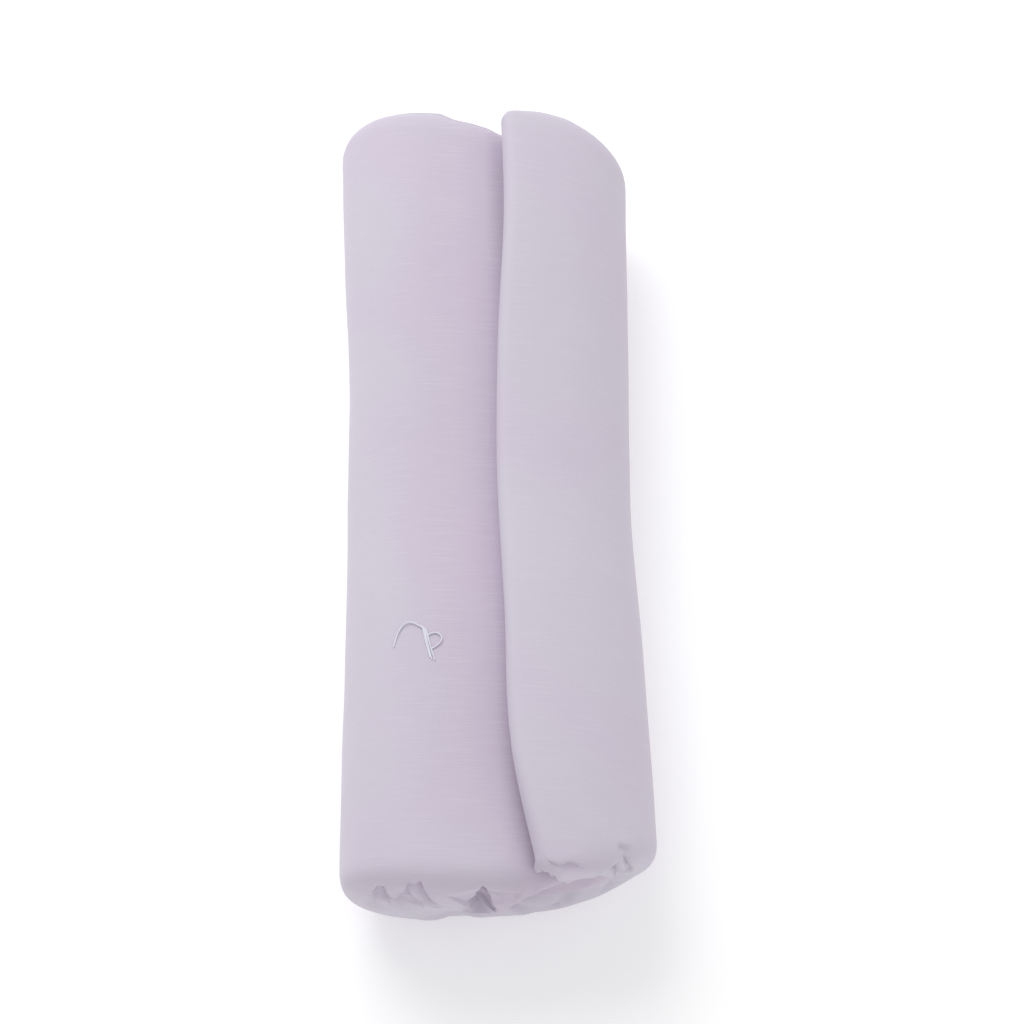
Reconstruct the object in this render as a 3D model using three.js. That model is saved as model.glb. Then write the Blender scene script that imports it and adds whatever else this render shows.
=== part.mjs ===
// A turban cloth as it is stored: thin cotton voile folded into a long band, rolled up and laid on its side.
// Millimetres. X runs across the roll, Y along it, and Z up from the surface that it lies on.
// The near end of the roll is at -Y. The origin is in the middle of the flattened underside.
import * as THREE from "three";

// The folded band, which is sixteen layers of voile thick.
const bandWall = 3.4;
const turnPitch = 4.6; // from one turn to the next, measured at the top of the roll
const turnCount = 6.8;
const outerEndTurn = 1.25; // past this turn the band lies wholly under the outer turn
const stepDown = { from: 0.7, to: 1.0 }; // the part of a turn over which it sinks under the next one out

// The free outer end, turned under into a bulky fold. Parts of a turn, and millimetres.
const foldWall = 8.0;
const foldTaper = { from: 0.02, to: 0.13 }; // where the fold thins to the plain band
const foldRadius = 4.0;
const foldNose = 0.15; // the rounding starts this far inside its tip
const outerTurnLength = 280;
const proudReach = 0.2; // the part of a turn over which the free end settles down onto the roll
const valleySides = { left: { from: 0.84, to: 1.0 }, right: { from: 0.0, to: 0.15 } };

// The roll's section: an oval with a boxy left side and a rounder right side, flat where it rests.
const axisHeight = 33;
const bottomReach = 37; // below the axis, before the underside is pressed flat
const restBend = 2.5; // how softly the side turns into the flat underside
const leftRoundness = 2.7;
const rightRoundness = 1.95;

// How the ends of the outer turn are tucked: the near end is drawn in over the roll, the far end only bent.
const nearTuck = { depth: 30, length: 14, squareness: 3 };
const farTuck = { depth: 5, length: 8, squareness: 2 };

// One row for each section along the roll: the left and right sides, the top, where the free end lies,
// how far the cloth sinks beside it, and how far the free end stands proud.
const sections = [
  { y: -144, left: -50.8, right: 56.2, top: 70, seam: 17.5, valley: 7.0, proud: 1.0 },
  { y: -98, left: -51.2, right: 54.5, top: 72, seam: 8.5, valley: 7.0, proud: 1.0 },
  { y: -48, left: -50.8, right: 52.0, top: 71, seam: 4.8, valley: 5.5, proud: 0.5 },
  { y: 2, left: -51.2, right: 49.5, top: 69, seam: 2.2, valley: 5.0, proud: 0.3 },
  { y: 52, left: -51.8, right: 49.5, top: 71, seam: 2.6, valley: 5.5, proud: 0.5 },
  { y: 102, left: -54.2, right: 49.5, top: 73, seam: 4.4, valley: 8.0, proud: 1.0 },
  { y: 145, left: -56.2, right: 50.0, top: 72, seam: 4.2, valley: 9.0, proud: 1.0 },
];

// One row for each stage of the outer turn, from the free end inwards: where the band's two edges lie,
// and how much of the tuck it has.
const outerEdges = [
  { turn: 0.0, near: -137, far: 140.5, tuck: 0.1 },
  { turn: 0.05, near: -137, far: 142, tuck: 0.12 },
  { turn: 0.09, near: -138, far: 141.5, tuck: 0.5 },
  { turn: 0.13, near: -138, far: 140, tuck: 0.9 },
  { turn: 0.17, near: -137.5, far: 138, tuck: 1.0 },
  { turn: 0.27, near: -136.5, far: 134.5, tuck: 1.0 },
  { turn: 0.36, near: -141.5, far: 136, tuck: 1.0 },
  { turn: 0.48, near: -144, far: 139, tuck: 1.0 },
  { turn: 0.74, near: -146, far: 145, tuck: 1.0 },
  { turn: 0.89, near: -146, far: 146, tuck: 1.0 },
  { turn: 1.0, near: -145.5, far: 140, tuck: 0.95 },
  { turn: 1.03, near: -144.5, far: 138, tuck: 0.85 },
  { turn: 1.06, near: -137, far: 136, tuck: 0.45 },
  { turn: 1.09, near: -126, far: 134, tuck: 0.05 },
  { turn: 1.12, near: -122, far: 132, tuck: 0.0 },
  { turn: 1.2, near: -122, far: 129, tuck: 0.0 },
];

// One row for each part of an inner turn: where its two edges lie inside the outer turn.
const innerEdges = [
  { part: 0.0, near: -132, far: 134, tuck: 0 },
  { part: 0.03, near: -130, far: 133, tuck: 0 },
  { part: 0.06, near: -125, far: 132, tuck: 0 },
  { part: 0.09, near: -119, far: 131, tuck: 0 },
  { part: 0.2, near: -122, far: 129, tuck: 0 },
  { part: 0.27, near: -124, far: 128, tuck: 0 },
  { part: 0.48, near: -132, far: 132, tuck: 0 },
  { part: 0.74, near: -134, far: 138, tuck: 0 },
  { part: 0.89, near: -134, far: 139, tuck: 0 },
  { part: 1.0, near: -132, far: 134, tuck: 0 },
];

// One row for each gather in the drawn-in near end: where it is and how wide, in turns, and how deep.
const gathers = [
  { turn: 0.16, width: 0.014, depth: 3.0 },
  { turn: 0.27, width: 0.018, depth: 3.5 },
  { turn: 0.37, width: 0.018, depth: 3.5 },
  { turn: 0.48, width: 0.018, depth: 3.0 },
  { turn: 0.58, width: 0.018, depth: 3.5 },
  { turn: 0.68, width: 0.018, depth: 3.5 },
  { turn: 0.775, width: 0.014, depth: 3.5 },
  { turn: 0.83, width: 0.012, depth: 3.5 },
  { turn: 0.87, width: 0.012, depth: 3.5 },
  { turn: 0.945, width: 0.014, depth: 4.0 },
  { turn: 1.03, width: 0.014, depth: 3.0 },
];
const gatherSwing = { from: 0.1, to: 0.6 }; // how far round the corner the gathers start and are full

// How finely the solid is faceted. A swing is 0 where a tuck starts and 1 at the band's edge.
const foldSteps = [0, 0.002, 0.006, 0.014]; // turns
const turnSteps = { outer: 78, inner: 26 };
const nearSwings = [1, 0.8, 0.6, 0.35, 0];
const middleStations = [-88, -38, 12, 62];
const farSwings = [0, 0.6, 1];

const cloth = { color: 0xd6cfdf, roughness: 0.9, metalness: 0.0 };

const fullTurn = 2 * Math.PI;

function smooth(from, to, value) {
  return THREE.MathUtils.smoothstep(value, from, to);
}

// A column of a table at a key, along a smooth curve through its rows.
function lookUp(rows, keyName, key, column) {
  const last = rows.length - 1;
  let i = 0;
  while (i < last - 1 && key > rows[i + 1][keyName]) i += 1;
  const span = rows[i + 1][keyName] - rows[i][keyName];
  const slope = (j) => {
    const before = rows[Math.max(j - 1, 0)];
    const after = rows[Math.min(j + 1, last)];
    return (after[column] - before[column]) / (after[keyName] - before[keyName]);
  };
  const t = THREE.MathUtils.clamp((key - rows[i][keyName]) / span, 0, 1);
  const rise = t * t * (3 - 2 * t);
  const start = rows[i][column];
  const end = rows[i + 1][column];
  const bend = t * (1 - t) * ((1 - t) * slope(i) - t * slope(i + 1)) * span;
  return start + (end - start) * rise + bend;
}

// A column of a table at a key, in straight steps from row to row.
function stepAlong(rows, keyName, key, column) {
  const last = rows.length - 1;
  let i = 0;
  while (i < last - 1 && key > rows[i + 1][keyName]) i += 1;
  const t = (key - rows[i][keyName]) / (rows[i + 1][keyName] - rows[i][keyName]);
  return THREE.MathUtils.lerp(rows[i][column], rows[i + 1][column], THREE.MathUtils.clamp(t, 0, 1));
}

function rounded(value, roundness) {
  return Math.sign(value) * Math.abs(value) ** (2 / roundness);
}

// The angle round the section at which the free end lies, from +X towards +Z.
function seamAngle(section) {
  const across = (section.seam - section.middle) / section.half;
  const roundness = across > 0 ? rightRoundness : leftRoundness;
  return Math.acos(Math.sign(across) * Math.abs(across) ** (roundness / 2));
}

function sectionAt(y) {
  const column = (name) => lookUp(sections, "y", y, name);
  const left = column("left");
  const right = column("right");
  const section = {
    middle: (left + right) / 2,
    half: (right - left) / 2,
    top: column("top"),
    seam: column("seam"),
    valley: column("valley"),
    proud: column("proud"),
  };
  section.seamAngle = seamAngle(section);
  return section;
}

// A height above the surface, with what would lie below the surface pressed up onto it.
function pressedFlat(height) {
  if (height >= restBend) return height;
  return Math.max(height + restBend, 0) ** 2 / (4 * restBend);
}

// A point of the section's outline at an angle, seen from the winding axis.
function outlineAt(section, angle) {
  const c = Math.cos(angle);
  const s = Math.sin(angle);
  const roundness = c > 0 ? rightRoundness : leftRoundness;
  const reach = s > 0 ? section.top - axisHeight : bottomReach;
  return {
    x: section.half * rounded(c, roundness),
    z: pressedFlat(axisHeight + reach * rounded(s, roundness)) - axisHeight,
  };
}

// How far the cloth sinks beside the free end, as a share of the section's valley.
function valleyShare(turn) {
  if (turn < 0.5) return 0;
  const part = turn - Math.floor(turn);
  const { left, right } = valleySides;
  return part > 0.5 ? smooth(left.from, left.to, part) : 1 - smooth(right.from, right.to, part);
}

// The depth of the band's outer face below the roll's outline, before its ends are tucked.
function windingDepth(turn, section) {
  const whole = Math.floor(turn);
  const sink = smooth(stepDown.from, stepDown.to, turn - whole);
  return turnPitch * (whole + sink) - section.proud * (1 - smooth(0, proudReach, turn));
}

// The band's thickness, and how much of it is left where the fold's edge is rounded.
function wallAt(turn) {
  const wall = bandWall + (foldWall - bandWall) * (1 - smooth(foldTaper.from, foldTaper.to, turn));
  const fromEnd = Math.min((turn * outerTurnLength + foldNose) / foldRadius, 1);
  return { wall, shown: wall * Math.sqrt(1 - (1 - fromEnd) ** 2) };
}

// Where a tuck's corner has got to at a swing: how far back from the edge, and how far in.
function tuckCorner(tuck, swing) {
  const angle = (swing * Math.PI) / 2;
  return {
    back: tuck.length * (1 - rounded(Math.sin(angle), tuck.squareness)),
    sunk: tuck.depth * (1 - rounded(Math.cos(angle), tuck.squareness)),
  };
}

function gatherDepth(turn, swing) {
  const sum = gathers.reduce((total, gather) => {
    const off = (turn - gather.turn) / gather.width;
    return total + gather.depth * Math.exp(-off * off);
  }, 0);
  return sum * smooth(gatherSwing.from, gatherSwing.to, swing);
}

function edgesAt(turn) {
  const outer = turn <= outerEdges[outerEdges.length - 1].turn;
  const part = turn - Math.floor(turn);
  const column = (name) =>
    outer ? stepAlong(outerEdges, "turn", turn, name) : stepAlong(innerEdges, "part", part, name);
  return { near: column("near"), far: column("far"), tuck: column("tuck") };
}

// The stations along one face of the band, from its near edge to its far edge.
function faceStations(turn) {
  const { near, far, tuck } = edgesAt(turn);
  const nearEnd = nearSwings.map((swing) => {
    const { back, sunk } = tuckCorner(nearTuck, swing);
    const gather = gatherDepth(turn, swing) * tuck;
    return { y: near + back, sunk: sunk * tuck, lean: swing * tuck, gather };
  });
  const middle = middleStations.map((y) => ({ y, sunk: 0, lean: 0, gather: 0 }));
  const farEnd = farSwings.map((swing) => {
    const { back, sunk } = tuckCorner(farTuck, swing);
    return { y: far - back, sunk: sunk * tuck, lean: 0, gather: 0 };
  });
  return [...nearEnd, ...middle, ...farEnd];
}

// Where a point of the band lies. face is -1 on the band's outer face and 1 on its inner face.
// A lean of 0 sets the wall's thickness across the roll, and a lean of 1 sets it along the roll.
function placeOnBand(turn, station, face) {
  const section = sectionAt(station.y);
  const angle = section.seamAngle - fullTurn * turn;
  const outline = outlineAt(section, angle);
  const { wall, shown } = wallAt(turn);
  const leanAngle = (station.lean * Math.PI) / 2;
  const inwards = wall / 2 + (face * shown) / 2;
  const depth = windingDepth(turn, section) + station.sunk + inwards * Math.cos(leanAngle);
  const topReach = section.top - axisHeight;
  const valley = 1 - (section.valley * valleyShare(turn)) / topReach;
  const scale = (1 - depth / topReach) * valley;
  const y = station.y + station.gather + inwards * Math.sin(leanAngle);
  return new THREE.Vector3(section.middle + outline.x * scale, y, axisHeight + outline.z * scale);
}

// The band's own section at one place of the winding, out along one face and back along the other.
function bandSection(turn) {
  const stations = faceStations(turn);
  const outerFace = stations.map((station) => placeOnBand(turn, station, -1));
  const innerFace = stations.map((station) => placeOnBand(turn, station, 1)).reverse();
  return [...outerFace, ...innerFace];
}

// The places along the winding, close together round the free end and coarser towards the core.
function windingSteps() {
  const steps = [...foldSteps];
  const start = steps[steps.length - 1];
  for (let i = 1; i <= turnSteps.outer; i += 1) {
    steps.push(start + ((outerEndTurn - start) * i) / turnSteps.outer);
  }
  for (let turn = outerEndTurn + 1 / turnSteps.inner; turn < turnCount; turn += 1 / turnSteps.inner) {
    steps.push(turn);
  }
  return steps;
}

// Closes the band's section with a strip between its two faces.
function endFacets(around) {
  const facets = [];
  for (let i = 0; i + 1 < around / 2; i += 1) {
    const [a, b] = [i, i + 1];
    const [c, d] = [around - 1 - i, around - 2 - i];
    facets.push([a, b, c], [b, d, c]);
  }
  return facets;
}

// Sweeps the band's section along the winding and closes both ends.
function woundBand() {
  const positions = [];
  const triangles = [];
  const steps = windingSteps();
  const around = bandSection(0).length;
  for (const turn of steps) {
    for (const point of bandSection(turn)) positions.push(...point.toArray());
  }
  for (let i = 0; i + 1 < steps.length; i += 1) {
    for (let j = 0; j < around; j += 1) {
      const k = (j + 1) % around;
      const [a, b] = [i * around + j, i * around + k];
      const [c, d] = [a + around, b + around];
      triangles.push(a, c, b, b, c, d);
    }
  }
  const lastRow = (steps.length - 1) * around;
  for (const [a, b, c] of endFacets(around)) {
    triangles.push(a, b, c);
    triangles.push(lastRow + c, lastRow + b, lastRow + a);
  }
  const geometry = new THREE.BufferGeometry();
  geometry.setAttribute("position", new THREE.Float32BufferAttribute(positions, 3));
  geometry.setIndex(triangles);
  geometry.computeVertexNormals();
  return geometry;
}

const turbanCloth = new THREE.Mesh(woundBand(), new THREE.MeshStandardMaterial(cloth));
turbanCloth.name = "turban_cloth";

const turban = new THREE.Group();
turban.name = "rolled_turban";
turban.add(turbanCloth);

export default turban;
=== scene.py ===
import math

import bmesh
import bpy
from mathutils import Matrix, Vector, noise


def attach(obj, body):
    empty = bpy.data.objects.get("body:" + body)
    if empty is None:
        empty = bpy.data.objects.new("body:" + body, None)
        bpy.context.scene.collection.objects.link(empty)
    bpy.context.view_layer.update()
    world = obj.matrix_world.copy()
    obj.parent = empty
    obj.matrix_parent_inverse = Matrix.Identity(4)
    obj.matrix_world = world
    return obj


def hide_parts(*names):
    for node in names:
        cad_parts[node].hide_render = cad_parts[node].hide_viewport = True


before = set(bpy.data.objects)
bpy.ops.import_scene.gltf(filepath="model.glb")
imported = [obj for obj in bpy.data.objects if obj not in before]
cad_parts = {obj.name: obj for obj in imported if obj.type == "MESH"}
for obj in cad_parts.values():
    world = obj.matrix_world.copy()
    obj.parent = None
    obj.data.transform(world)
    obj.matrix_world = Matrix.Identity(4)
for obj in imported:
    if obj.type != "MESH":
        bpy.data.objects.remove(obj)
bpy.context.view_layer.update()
scene = bpy.context.scene
mm = 0.001


def smooth(start, end, value):
    t = min(max((value - start) / (end - start), 0.0), 1.0)
    return t * t * (3 - 2 * t)


def rounded(value, roundness):
    return math.copysign(abs(value) ** (2 / roundness), value)


# the row of a table at a key, in straight steps from row to row
def stepAlong(rows, key):
    i = 0
    while i < len(rows) - 2 and key > rows[i + 1][0]:
        i += 1
    t = min(max((key - rows[i][0]) / (rows[i + 1][0] - rows[i][0]), 0.0), 1.0)
    return [a + (b - a) * t for a, b in zip(rows[i][1:], rows[i + 1][1:])]


# the row of a table at a key, on a smooth curve through the rows
def curveAlong(rows, key):
    last = len(rows) - 1
    i = 0
    while i < last - 1 and key > rows[i + 1][0]:
        i += 1
    span = rows[i + 1][0] - rows[i][0]
    t = min(max((key - rows[i][0]) / span, 0.0), 1.0)
    rise = t * t * (3 - 2 * t)
    found = []
    for c in range(1, len(rows[0])):
        slopes = []
        for j in (i, i + 1):
            a, b = rows[max(j - 1, 0)], rows[min(j + 1, last)]
            slopes.append((b[c] - a[c]) / (b[0] - a[0]))
        bend = t * (1 - t) * ((1 - t) * slopes[0] - t * slopes[1]) * span
        found.append(rows[i][c] + (rows[i + 1][c] - rows[i][c]) * rise + bend)
    return found


# millimetres and parts of a turn; the free end is turn 0 and the core is the last turn
roll = dict(
    wall=3.4,  # sixteen layers of voile
    pitch=4.6,
    turns=6.8,
    outerTurns=1.22,  # where the outer sheet ends and the inner one starts
    turnLength=280,
    axis=33.0,
    bottom=37.0,
    restBend=2.5,
    leftRound=2.7,
    rightRound=1.95,
    foldWall=8.0,
    foldRadius=3.0,
    foldMiddle=0.36,  # how high in the fold its edge lies, as a share of its thickness from the top
    gutter=2.4,
    gutterTurn=1.02,
    gutterWidth=0.03,
    foldBulk=1.4,
    foldRest=1.0,
    outerWander=0.7,
    innerWander=1.6,
    unevenBroad=0.6,
    unevenFine=0.12,
)
tucks = dict(near=dict(depth=30, length=14, square=3.0), far=dict(depth=5, length=8, square=2.0))

# y, left side, right side, top, seam, how far the cloth sinks beside the seam,
# how proud the free end is
sections = [
    (-144, -50.8, 56.2, 70, 19.5, 7.0, 1.0),
    (-98, -51.2, 54.5, 72, 7.2, 7.0, 1.0),
    (-48, -50.8, 52.0, 71, 4.8, 5.5, 0.5),
    (2, -51.2, 49.5, 69, 2.2, 5.0, 0.3),
    (52, -51.8, 49.5, 71, 2.6, 5.5, 0.5),
    (102, -54.2, 49.5, 73, 5.2, 8.0, 1.0),
    (145, -56.2, 50.0, 72, 4.2, 9.0, 1.0),
]
# turn, near edge, far edge, share of the tuck
outerEdges = [
    (0.0, -135.5, 137.5, 0.08),
    (0.005, -138, 139, 0.1),
    (0.014, -139.5, 139.5, 0.16),
    (0.03, -140.5, 140.2, 0.28),
    (0.05, -140, 141.2, 0.4),
    (0.09, -138.5, 141.5, 0.54),
    (0.13, -136.5, 140, 0.6),
    (0.17, -134.5, 138, 0.62),
    (0.22, -134, 136, 0.76),
    (0.27, -134.5, 134.5, 0.95),
    (0.31, -137, 135, 1.02),
    (0.36, -140.5, 136, 1.04),
    (0.48, -143, 139, 1.08),
    (0.6, -144.5, 142, 1.12),
    (0.74, -146, 145, 1.12),
    (0.89, -146, 146, 1.06),
    (0.925, -146, 145.8, 1.03),
    (0.945, -145.8, 143.6, 1.02),
    (0.97, -145.5, 142.4, 1.0),
    (1.0, -145.2, 140, 0.96),
    (1.03, -143.8, 138, 0.92),
    (1.06, -141.5, 136, 0.9),
    (1.09, -138.5, 134, 0.88),
    (1.12, -134, 132, 0.86),
    (1.2, -131, 129, 0.85),
]
# part of a turn, near edge, far edge
innerEdges = [
    (0.0, -122, 134),
    (0.03, -121, 133),
    (0.06, -120, 132),
    (0.09, -118, 131),
    (0.2, -120, 129),
    (0.27, -121, 128),
    (0.48, -125, 132),
    (0.74, -126, 138),
    (0.89, -126, 139),
    (1.0, -122, 134),
]
sectionCache = {}


# the section goes over softly from the boxy left side to the rounder right side
def ovalX(c):
    left, right = roll["leftRound"], roll["rightRound"]
    power = left + (right - left) * smooth(-0.5, 0.5, c)
    return rounded(c, power), power


def sectionAt(y):
    key = round(y * 5)
    if key not in sectionCache:
        left, right, top, seam, valley, proud = curveAlong(sections, y)
        middle, half = (left + right) / 2, (right - left) / 2
        low, high = -1.0, 1.0
        for i in range(30):
            c = (low + high) / 2
            low, high = (c, high) if ovalX(c)[0] < (seam - middle) / half else (low, c)
        sectionCache[key] = middle, half, top, valley, proud, math.acos(c)
    return sectionCache[key]


# what would lie below the floor is pressed up onto it
def pressedFlat(height):
    bend = roll["restBend"]
    return height if height >= bend else max(height + bend, 0) ** 2 / (4 * bend)


def valleyShare(turn):
    if turn < 0.5:
        return 0.0
    part = turn % 1
    return smooth(0.84, 1.0, part) if part > 0.5 else 1 - smooth(0.0, 0.15, part)


# how deep the outer face lies: a step each turn, the free end proud, a gutter under the free end
def windingDepth(turn, proud):
    whole = math.floor(turn)
    step = roll["pitch"] * (whole + smooth(0.7, 1.0, turn - whole))
    step -= proud * (1 - smooth(0, 0.2, turn))
    fromGutter = (turn - roll["gutterTurn"]) / roll["gutterWidth"]
    return step + roll["gutter"] * math.exp(-(fromGutter**2))


# soft hills and hollows that every turn shares, so that the turns stay apart
def unevenAt(x, y, z):
    p = Vector((x, y * 0.7, z))
    broad = roll["unevenBroad"] * noise.noise(p * 0.021 + Vector((4.0, 1.0, 2.0)))
    fine = roll["unevenFine"] * noise.noise(p * 0.085)
    return (broad + fine) * smooth(3, 18, z)


# a point of the band: turn, (y, how far it is drawn in, how far it leans over the end),
# and its depth in the wall
def bandPoint(turn, place, inwards):
    y, sunk, lean = place
    middle, half, top, valley, proud, seamAngle = sectionAt(y)
    angle = seamAngle - 2 * math.pi * turn
    c, s = math.cos(angle), math.sin(angle)
    across, power = ovalX(c)
    outX = half * across
    reach = top - roll["axis"] if s > 0 else roll["bottom"]
    outZ = pressedFlat(roll["axis"] + reach * rounded(s, power)) - roll["axis"]
    topReach = top - roll["axis"]
    leanAngle = lean * math.pi / 2
    depth = windingDepth(turn, proud) + sunk + inwards * math.cos(leanAngle)
    depth -= unevenAt(outX, y, roll["axis"] + outZ)
    scale = max(1 - depth / topReach, 0.02) * (1 - valley * valleyShare(turn) / topReach)
    x, z = middle + outX * scale, roll["axis"] + outZ * scale
    return Vector((x, y + inwards * math.sin(leanAngle), z))


def tuckCorner(tuck, swing):
    angle = swing * math.pi / 2
    back = tuck["length"] * (1 - rounded(math.sin(angle), tuck["square"]))
    return back, tuck["depth"] * (1 - rounded(math.cos(angle), tuck["square"]))


# how thick the band is at a turn, and how much of that its rounded or tapered ends leave
def wallAt(turn, cutEnds):
    wall = roll["wall"] + (roll["foldWall"] - roll["wall"]) * (1 - smooth(0.02, 0.13, turn))
    shown = wall
    if turn < 0.1:
        fromEnd = min(turn * roll["turnLength"] / roll["foldRadius"], 1.0)
        shown = wall * math.sqrt(1 - (1 - fromEnd) ** 2)
    for cut, radius in cutEnds:
        fromEnd = min(abs(turn - cut) * roll["turnLength"] / radius, 1.0)
        shown = min(shown, wall * math.sqrt(1 - (1 - fromEnd) ** 2))
    return wall, shown


# the fold at the free end is bulky enough to lie on the cloth that sinks beneath it
def foldBulk(turn, y):
    valley, proud = sectionAt(y)[3:5]
    bulk = min((valley + roll["pitch"] + proud + roll["foldRest"]) / roll["foldWall"], roll["foldBulk"])
    return 1 + (bulk - 1) * (1 - smooth(0.02, 0.13, turn))


# the two edges wander a little from turn to turn
def edgesAt(turn):
    last = outerEdges[-1][0]
    wander = smooth(0, 0.08, abs(turn - last))
    if turn <= last:
        near, far, tuck = stepAlong(outerEdges, turn)
        far += roll["outerWander"] * wander * noise.noise(Vector((turn * 9, 3.0, 0)))
        return near, far, tuck
    near, far = stepAlong(innerEdges, turn % 1)
    far += roll["innerWander"] * wander * noise.noise(Vector((turn * 5, 8.0, 0)))
    return near, far, 0.0


# the folded plies that show at a band's edge: place across the wall, how far out
plies = [
    (-0.92, 0.7),
    (-0.72, 1.1),
    (-0.5, 0.7),
    (-0.36, -1.3),
    (-0.18, 0.3),
    (0.02, 0.8),
    (0.2, 0.4),
    (0.34, -1.4),
    (0.5, 0.5),
    (0.74, 1.0),
    (0.92, 0.7),
]
nearEnd = dict(swell=7.0, curl=2.5)


# a place on the near end; the under layer swells out of the gap beside the free end,
# and the lower cloth curls in behind the upper
def endPlace(turn, swing, near, tuck):
    back, sunk = tuckCorner(tucks["near"], swing)
    swell = nearEnd["swell"] * smooth(1.08, 1.13, turn) * smooth(0.3, 0.75, swing)
    lower = smooth(0.4, 0.52, turn) * (1 - smooth(0.66, 0.78, turn))
    curl = nearEnd["curl"] * lower * smooth(0.7, 1.0, swing)
    return near + back - swell + curl, sunk * tuck, min(swing * tuck, 1.0)


# out along the outer face, round the far plies, back along the inner face, round the near plies
def bandLoop(turn, cut):
    near, far, tuck = edgesAt(turn)
    farTuck = tuck * (1 - smooth(1.0, 1.19, turn))
    face = []
    for swing in cut["nearSwings"]:
        face.append(endPlace(turn, swing, near, tuck))
    start, end = near + tucks["near"]["length"], far - tucks["far"]["length"]
    for share in cut["middle"]:
        face.append((start + (end - start) * share, 0.0, 0.0))
    for swing in cut["farSwings"]:
        back, sunk = tuckCorner(tucks["far"], swing)
        face.append((far - back, sunk * farTuck, 0.0))
    loop = [(place, -1.0, j) for j, place in enumerate(face)]
    y, sunk, lean = face[-1]
    loop += [((y + out, sunk, lean), across, len(face) - 1) for across, out in plies]
    loop += [(place, 1.0, j) for j, place in reversed(list(enumerate(face)))]
    y, sunk, lean = face[0]
    leanAngle = lean * math.pi / 2
    for across, out in reversed(plies):
        out *= min(1.0, turn * 90)
        place = (y - out * math.cos(leanAngle), sunk + out * math.sin(leanAngle), lean)
        loop.append((place, across, 0))
    return loop


# a path on the end as (turn, swing) points, the side that goes under, how deep, and how wide
# the hollow is; a swing is 0 where the cloth starts to turn the corner and 1 at its edge
gathers = [
    ([(0.803, 0.34), (0.7855, 0.40), (0.7597, 0.463), (0.7305, 0.50), (0.7013, 0.50)], 1, 3.0, 4),
    ([(0.812, 0.36), (0.7975, 0.463), (0.7752, 0.55), (0.7477, 0.613)], -1, 4.2, 3),
    ([(0.7941, 0.475), (0.7769, 0.588), (0.7872, 0.6), (0.825, 0.525), (0.837, 0.463)], -1, 2.4, 3),
    ([(0.8388, 0.43), (0.8216, 0.562), (0.8027, 0.675), (0.7889, 0.75)], -1, 2.2, 2.5),
    ([(0.872, 0.31), (0.8663, 0.45), (0.8577, 0.562), (0.8439, 0.675), (0.8284, 0.75)], -1, 5.5, 3.2),
    ([(0.7081, 0.613), (0.74, 0.68), (0.745, 0.75), (0.7631, 0.81), (0.8009, 0.825)], -1, 2.5, 5),
    ([(0.936, 0.42), (0.9264, 0.6), (0.9092, 0.775), (0.8594, 0.912), (0.80, 0.97)], 1, 4.6, 7),
    ([(0.936, 0.42), (0.9367, 0.625), (0.9384, 0.8), (0.9419, 0.963)], -1, 5.0, 7),
    ([(0.8869, 0.85), (0.8422, 0.95)], 1, 2.0, 3),
    ([(0.9694, 0.562), (0.9883, 0.662), (1.01, 0.70), (1.035, 0.66)], -1, 1.2, 3),
    ([(0.003, 1.0), (0.006, 0.675), (0.021, 0.475), (0.03, 0.375), (0.0345, 0.40), (0.0405, 0.45),
      (0.054, 0.50), (0.075, 0.512), (0.0855, 0.50), (0.093, 0.45)], -1, 2.2, 9),
    ([(0.088, 0.36), (0.0915, 0.45), (0.099, 0.588), (0.14, 0.73), (0.1815, 0.825),
      (0.261, 0.688), (0.2865, 0.625)], 1, 3.2, 2.4),
    ([(0.103, 0.22), (0.1065, 0.30), (0.1125, 0.388), (0.1275, 0.525)], 1, 2.4, 1.6),
    ([(0.1125, 0.338), (0.129, 0.438), (0.174, 0.6)], -1, 1.6, 2),
    ([(0.0945, 0.10), (0.102, 0.113), (0.108, 0.125)], -1, 1.2, 3),
    ([(0.20, 0.97), (0.2415, 0.925), (0.2865, 0.838), (0.3135, 0.775),
      (0.3345, 0.738), (0.3495, 0.69)], -1, 3.4, 3),
    ([(0.33, 0.45), (0.345, 0.7), (0.36, 1.0)], 1, 2.4, 4),
    ([(0.41, 0.5), (0.41, 0.75), (0.42, 1.0)], -1, 2.2, 4),
    ([(0.475, 0.45), (0.48, 0.7), (0.49, 1.0)], 1, 2.6, 4),
    ([(0.545, 0.5), (0.54, 0.75), (0.53, 1.0)], -1, 2.2, 4),
    ([(0.62, 0.75), (0.615, 0.88), (0.6, 1.0)], -1, 1.6, 3),
]
gather = dict(
    lipRise=0.6,
    lipWidth=3.0,
    edge=0.55,
    overlap=1.1,
    overlapWidth=1.6,
    endFade=2.5,
    reach=14,
    drawnInFrom=-122,
    softenBelow=36,
    softening=0.35,
    softenings=4,
)


def endPoint(turn, swing):
    near, far, tuck = edgesAt(turn)
    return bandPoint(turn, endPlace(turn, swing, near, tuck), 0.0)


# the gathers as lines in space, each with the turns that it can reach
def gatherLines():
    lines = []
    for path, under, depth, width in gathers:
        points = []
        for (t0, s0), (t1, s1) in zip(path, path[1:]):
            points += [endPoint(t0 + (t1 - t0) * k / 4, s0 + (s1 - s0) * k / 4) for k in range(4)]
        points.append(endPoint(*path[-1]))
        lengths = [0.0]
        for a, b in zip(points, points[1:]):
            lengths.append(lengths[-1] + (b - a).length)
        turns = [t for t, s in path]
        lines.append((min(turns) - 0.06, max(turns) + 0.06, points, lengths, under, depth, width))
    return lines


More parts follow.
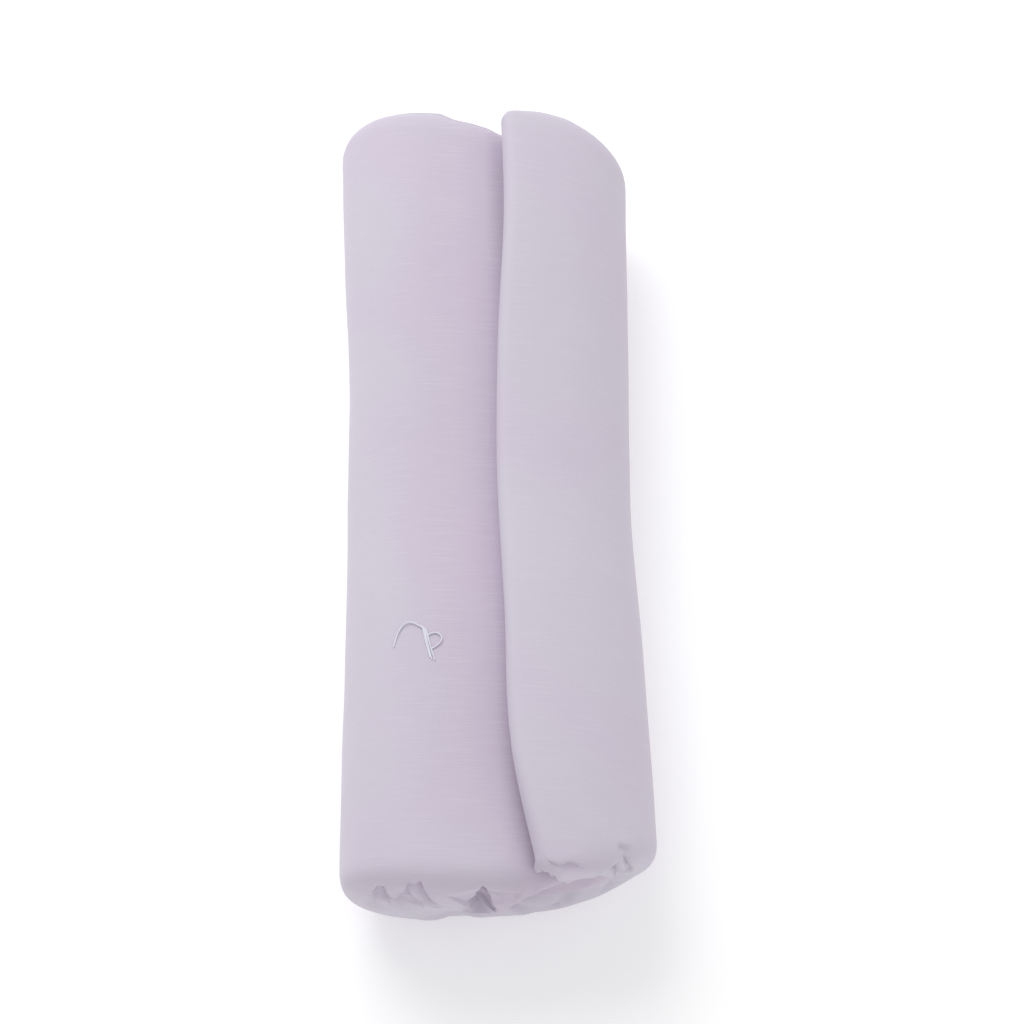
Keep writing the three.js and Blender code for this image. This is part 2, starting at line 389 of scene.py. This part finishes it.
# how a gather moves one point of the cloth: sunk on the side that goes under,
# and a lip that overhangs on the other
def gatherShift(p, normal, line):
    points, lengths, under, depth, width = line[2:]
    best = None
    for k in range(len(points) - 1):
        a, b = points[k], points[k + 1]
        along = b - a
        t = min(max((p - a).dot(along) / along.length_squared, 0.0), 1.0)
        off = p - (a + along * t)
        if best is None or off.length < best[0]:
            best = off.length, off, along.normalized(), lengths[k] + along.length * t
    far, off, along, run = best
    if far > gather["reach"]:
        return Vector((0, 0, 0))
    sideways = normal.cross(along)
    side = off.dot(sideways) * under
    past = off.dot(along)
    strength = smooth(0.0, min(6.0, 0.5 * lengths[-1]), run)
    strength *= math.exp(-((past / gather["endFade"]) ** 2))
    step = smooth(-gather["edge"], gather["edge"], side)
    sink = depth * step * math.exp(-max(side, 0) / width)
    lip = (1 - step) * min(depth / 2, 1)
    rise = gather["lipRise"] * lip * math.exp(-((side / gather["lipWidth"]) ** 2))
    over = gather["overlap"] * lip * math.exp(-((side / gather["overlapWidth"]) ** 2))
    return (normal * (rise - sink) + sideways * (under * over)) * strength


# even steps along each (start, end, size), joined end to end
def spread(*parts):
    steps = []
    for start, end, size in parts:
        count = max(1, round((end - start) / size))
        steps += [start + (end - start) * i / count for i in range(count)]
    return steps + [parts[-1][1]]


outerCut = dict(
    steps=[0.0, 0.0004, 0.0012, 0.0026, 0.0046, 0.0072, 0.0104]
    + spread((0.0142, 0.27, 0.0022), (0.27, 0.7, 0.0056))[:-1]
    + spread((0.7, 1.08, 0.0022), (1.08, 1.216, 0.0068))
    + [1.2185, roll["outerTurns"]],
    nearSwings=[1 - i / 38 for i in range(39)],
    middle=[0.01, 0.02, 0.03, 0.042, 0.056, 0.072] + [0.095 + 0.905 * i / 30 for i in range(30)],
    farSwings=[i / 8 for i in range(9)],
    cutEnds=[(roll["outerTurns"], 0.4)],
)
innerCut = dict(
    steps=[roll["outerTurns"], 1.2215, 1.224] + spread((1.23, 6.79, 0.012)) + [6.797, roll["turns"]],
    nearSwings=[1, 0.6, 0],
    middle=[0.08 * i for i in range(1, 13)],
    farSwings=[0, 0.3, 0.6, 0.8, 1],
    cutEnds=[(roll["outerTurns"], 0.4), (roll["turns"], 2.0)],
)


# places the band's points, moves those that a gather reaches, and lays a grid over them
def windBand(name, cut, lines):
    steps = cut["steps"]
    loops = [bandLoop(turn, cut) for turn in steps]
    around = len(loops[0])
    points = []
    for turn, loop in zip(steps, loops):
        wall, shown = wallAt(turn, cut["cutEnds"])
        middle = wall * (0.5 + (roll["foldMiddle"] - 0.5) * (1 - smooth(0.02, 0.13, turn)))
        row = []
        for place, face, j in loop:
            inwards = middle + face * (middle if face < 0 else wall - middle) * shown / wall
            row.append(bandPoint(turn, place, inwards * foldBulk(turn, place[0])))
        points.append(row)
    reach = len(cut["nearSwings"]) + 3
    shifts = {}
    for i, turn in enumerate(steps):
        here = [line for line in lines if line[0] <= turn <= line[1]]
        for j in range(reach if here else 0):
            row = points[i]
            onwards = points[min(i + 1, len(steps) - 1)][j] - points[max(i - 1, 0)][j]
            across = row[j + 1] - row[max(j - 1, 0)]
            normal = onwards.cross(across).normalized()
            moves = [gatherShift(row[j], normal, line) for line in here]
            shifts[i, j] = sum(moves, Vector((0, 0, 0)))
    mesh = bmesh.new()
    bmesh.ops.create_grid(mesh, x_segments=len(steps) - 1, y_segments=around, size=1.0)
    flat = mesh.loops.layers.uv.new("flat")
    flatAt = {}
    for v in mesh.verts:
        i = round((v.co.x + 1) / 2 * (len(steps) - 1))
        j = round((v.co.y + 1) / 2 * around) % around
        place, face, station = loops[i][j]
        flatAt[v] = steps[i] * roll["turnLength"] * mm, (place[0] - place[1]) * mm
        v.co = (points[i][j] + shifts.get((i, station), Vector((0, 0, 0)))) * mm
    for f in mesh.faces:
        f.smooth = True
        for corner in f.loops:
            corner[flat].uv = flatAt[corner.vert]
    bmesh.ops.remove_doubles(mesh, verts=mesh.verts, dist=0.00002)
    drawnIn = [v for v in mesh.verts if v.co.y < gather["drawnInFrom"] * mm] if lines else []
    lowerEnd = [v for v in drawnIn if v.co.z < gather["softenBelow"] * mm]
    for soft in [drawnIn] + [lowerEnd] * gather["softenings"]:
        bmesh.ops.smooth_vert(
            mesh,
            verts=soft,
            factor=gather["softening"],
            use_axis_x=True,
            use_axis_y=True,
            use_axis_z=True,
        )
    bmesh.ops.recalc_face_normals(mesh, faces=mesh.faces)
    data = bpy.data.meshes.new(name)
    mesh.to_mesh(data)
    mesh.free()
    band = bpy.data.objects.new(name, data)
    scene.collection.objects.link(band)
    print(name, len(data.polygons), "faces")
    return band


outerTurn = windBand("outer_turn", outerCut, gatherLines())
innerTurns = windBand("inner_turns", innerCut, [])


# (turn, y) places on the cloth and the height above it, one row of places for each strand
thread = dict(
    radius=0.26,
    strands=[
        [(0.8787, -61.2, 0.2), (0.884, -56.5, 0.5), (0.8945, -52.4, 0.9), (0.905, -52.2, 0.9),
         (0.919, -55.2, 0.5)],
        [(0.9165, -54.2, 0.5), (0.921, -60.4, 0.4), (0.9255, -65.2, 0.3)],
        [(0.918, -54.4, 0.6), (0.923, -60.2, 0.6), (0.9272, -66.0, 0.3)],
        [(0.9195, -54.6, 0.5), (0.9245, -60.0, 0.5), (0.9292, -64.6, 0.3)],
        [(0.921, -55.4, 0.4), (0.925, -59.6, 0.5), (0.9265, -63.0, 0.5), (0.931, -66.2, 0.3)],
        [(0.922, -57.6, 0.4), (0.931, -55.6, 0.6), (0.942, -57.6, 0.8), (0.939, -60.2, 0.7),
         (0.927, -62.2, 0.4)],
    ],
)


def layThread():
    curve = bpy.data.curves.new("loose_thread", "CURVE")
    curve.dimensions = "3D"
    curve.bevel_depth = thread["radius"] * mm
    curve.bevel_resolution = 2
    curve.use_fill_caps = True
    for strand in thread["strands"]:
        spline = curve.splines.new("NURBS")
        spline.points.add(len(strand) - 1)
        spline.use_endpoint_u = True
        spline.order_u = min(4, len(strand))
        for point, (turn, y, height) in zip(spline.points, strand):
            p = bandPoint(turn, (y, 0.0, 0.0), -height) * mm
            point.co = (*p, 1.0)
    holder = bpy.data.objects.new("thread_curve", curve)
    scene.collection.objects.link(holder)
    drawn = holder.evaluated_get(bpy.context.evaluated_depsgraph_get())
    data = bpy.data.meshes.new_from_object(drawn)
    data.name = "loose_thread"
    piece = bpy.data.objects.new("loose_thread", data)
    scene.collection.objects.link(piece)
    bpy.data.objects.remove(holder)
    print("loose_thread", len(data.polygons), "faces")
    return piece


looseThread = layThread()


def linear(hexColour):
    parts = [int(hexColour[i : i + 2], 16) / 255 for i in (1, 3, 5)]
    low, high = [p / 12.92 for p in parts], [((p + 0.055) / 1.055) ** 2.4 for p in parts]
    return tuple(a if p <= 0.04045 else b for p, a, b in zip(parts, low, high)) + (1.0,)


def newMaterial(name):
    material = bpy.data.materials.new(name)
    material.use_nodes = True
    material.node_tree.nodes.clear()
    return material, material.node_tree


# adds a node; a value that is another node's output is linked, any other value is set
def addNode(tree, kind, inputs=None, **settings):
    node = tree.nodes.new(kind)
    for key, value in settings.items():
        setattr(node, key, value)
    for key, value in (inputs or {}).items():
        if isinstance(value, bpy.types.NodeSocket):
            tree.links.new(value, node.inputs[key])
        else:
            node.inputs[key].default_value = value
    return node


voileLook = dict(
    lilac="#D5CEDD",
    pink="#D2C5D6",
    grey="#D1CED8",
    # painted shade: the darker, pinker colour mixed into the cloth beside the seam
    seamShadePink="#C7B5CB",
    slubLight="#DCD6E2",
    threadPitch=0.7,  # mm; real voile is about 0.35, drawn coarser so that it shows
    slubLong=16,
    slubThin=0.5,
    castWide=1 / 0.018,
    bump=0.1,
)


# thin matte cotton: pale lilac, with a pinkish and a greyish cast in places, painted shade, darker and
# pinker, beside and under the free end, and fine pale slubs round the roll; a Mix node's colours are
# its inputs 6 and 7
def makeVoile():
    look = voileLook
    material, tree = newMaterial("voile")
    flat = addNode(tree, "ShaderNodeUVMap", uv_map="flat").outputs["UV"]
    toMm = {"Vector": flat, "Scale": (1000, 1000, 1000)}
    inMm = addNode(tree, "ShaderNodeMapping", toMm).outputs["Vector"]
    slubScale = (1 / look["slubLong"], 1 / look["slubThin"], 1)
    slubAt = addNode(tree, "ShaderNodeMapping", {"Vector": inMm, "Scale": slubScale})
    slub = addNode(
        tree, "ShaderNodeTexNoise", {"Vector": slubAt.outputs["Vector"], "Scale": 1.0, "Detail": 2.0}
    ).outputs["Fac"]
    cast = addNode(
        tree, "ShaderNodeTexNoise", {"Vector": inMm, "Scale": 1 / look["castWide"], "Detail": 1.0}
    ).outputs["Fac"]
    castShare = addNode(
        tree, "ShaderNodeMapRange", {"Value": cast, "From Min": 0.35, "From Max": 0.65}
    ).outputs["Result"]
    casts = {"Factor": castShare, 6: linear(look["pink"]), 7: linear(look["grey"])}
    tint = addNode(tree, "ShaderNodeMix", casts, data_type="RGBA")
    tinted = {"Factor": 0.45, 6: linear(look["lilac"]), 7: tint.outputs[2]}
    base = addNode(tree, "ShaderNodeMix", tinted, data_type="RGBA")
    onwards = addNode(tree, "ShaderNodeSeparateXYZ", {"Vector": flat}).outputs["X"]
    # painted shade: the seam shade colour rises from none at 240 mm along the band to half at 285 mm,
    # and stays at half beyond that, under the free end and on the inner turns
    seamShadeShare = addNode(
        tree,
        "ShaderNodeMapRange",
        {"Value": onwards, "From Min": 0.24, "From Max": 0.285, "To Max": 0.5},
        interpolation_type="SMOOTHSTEP",
    ).outputs["Result"]
    shaded = {"Factor": seamShadeShare, 6: base.outputs[2], 7: linear(look["seamShadePink"])}
    withSeamShade = addNode(tree, "ShaderNodeMix", shaded, data_type="RGBA")
    slubShare = addNode(
        tree, "ShaderNodeMapRange", {"Value": slub, "From Min": 0.5, "From Max": 0.8, "To Max": 0.5}
    ).outputs["Result"]
    slubbed = {"Factor": slubShare, 6: withSeamShade.outputs[2], 7: linear(look["slubLight"])}
    colour = addNode(tree, "ShaderNodeMix", slubbed, data_type="RGBA")
    weave = []
    for direction in ("X", "Y"):
        band = addNode(
            tree,
            "ShaderNodeTexWave",
            # a wave texture of scale 0.314 repeats once in a millimetre
            {"Vector": inMm, "Scale": 0.314 / look["threadPitch"], "Distortion": 0.6, "Detail": 1.0},
            bands_direction=direction,
        )
        weave.append(band.outputs["Fac"])
    threads = addNode(tree, "ShaderNodeMath", {0: weave[0], 1: weave[1]}, operation="ADD")
    raised = {0: slub, 1: 0.6, 2: threads.outputs["Value"]}
    height = addNode(tree, "ShaderNodeMath", raised, operation="MULTIPLY_ADD")
    bump = addNode(
        tree,
        "ShaderNodeBump",
        {"Height": height.outputs["Value"], "Strength": look["bump"], "Distance": 0.0002},
    )
    surface = addNode(
        tree,
        "ShaderNodeBsdfPrincipled",
        {
            "Base Color": colour.outputs[2],
            "Roughness": 0.92,
            "Specular IOR Level": 0.15,
            "Sheen Weight": 0.2,
            "Sheen Roughness": 0.5,
            "Normal": bump.outputs["Normal"],
        },
    )
    addNode(tree, "ShaderNodeOutputMaterial", {"Surface": surface.outputs["BSDF"]})
    return material


# paler and a little bluer than the cloth, so that the loose end reads against it
def makeThread():
    material, tree = newMaterial("cotton_thread")
    surface = addNode(
        tree,
        "ShaderNodeBsdfPrincipled",
        {"Base Color": linear("#E6E6F2"), "Roughness": 0.85, "Sheen Weight": 0.3},
    )
    addNode(tree, "ShaderNodeOutputMaterial", {"Surface": surface.outputs["BSDF"]})
    return material


# a matte near-white table, with a little glow of its own so that it stays near white in shade
def makeFloorMaterial():
    material, tree = newMaterial("pale_floor")
    surface = addNode(
        tree,
        "ShaderNodeBsdfPrincipled",
        {
            "Base Color": linear("#F6F6F7"),
            "Roughness": 0.9,
            "Emission Color": (1, 1, 1, 1),
            "Emission Strength": 0.22,
        },
    )
    addNode(tree, "ShaderNodeOutputMaterial", {"Surface": surface.outputs["BSDF"]})
    return material


voile = makeVoile()
outerTurn.data.materials.append(voile)
innerTurns.data.materials.append(voile)
looseThread.data.materials.append(makeThread())
print("materials made")

for piece in (outerTurn, innerTurns, looseThread):
    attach(piece, "root")
    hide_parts("turban_cloth")


studio = dict(
    floorSize=6.0,
    worldStrength=0.6,
    key=dict(place=(-0.5, 1.0, 1.3), size=1.1, power=13),
    fill=dict(place=(0.9, -0.4, 1.2), size=1.4, power=2),
    elevation=68.0,
    distance=0.95,
    lookAt=(0.0, 0.0, 0.035),
    lens=94.3,
    shiftX=0.02,
    shiftY=-0.0039,
)


def makeFloor():
    mesh = bmesh.new()
    bmesh.ops.create_grid(mesh, x_segments=1, y_segments=1, size=studio["floorSize"] / 2)
    data = bpy.data.meshes.new("floor")
    mesh.to_mesh(data)
    mesh.free()
    floor = bpy.data.objects.new("floor", data)
    scene.collection.objects.link(floor)
    data.materials.append(makeFloorMaterial())
    return floor


def makeLight(name, light):
    data = bpy.data.lights.new(name, "AREA")
    data.size = light["size"]
    data.energy = light["power"]
    lamp = bpy.data.objects.new(name, data)
    scene.collection.objects.link(lamp)
    lamp.location = light["place"]
    aim = Vector(studio["lookAt"]) - lamp.location
    lamp.rotation_euler = aim.to_track_quat("-Z", "Y").to_euler()
    return lamp


floor = makeFloor()
lights = makeLight("key_light", studio["key"]), makeLight("fill_light", studio["fill"])

world = bpy.data.worlds.new("studio")
world.use_nodes = True
backdrop = world.node_tree.nodes["Background"]
backdrop.inputs["Color"].default_value = (1, 1, 1, 1)
backdrop.inputs["Strength"].default_value = studio["worldStrength"]
scene.world = world
scene.view_settings.view_transform = "Standard"

cameraData = bpy.data.cameras.new("camera")
cameraData.lens = studio["lens"]
cameraData.sensor_width = 36
cameraData.shift_x = studio["shiftX"]
cameraData.shift_y = studio["shiftY"]
camera = bpy.data.objects.new("camera", cameraData)
scene.collection.objects.link(camera)
tilt = math.radians(studio["elevation"])
back = Vector((0, -math.cos(tilt), math.sin(tilt)))
camera.location = Vector(studio["lookAt"]) + back * studio["distance"]
camera.rotation_euler = (-back).to_track_quat("-Z", "Y").to_euler()
scene.camera = camera
print("floor, light and camera set")
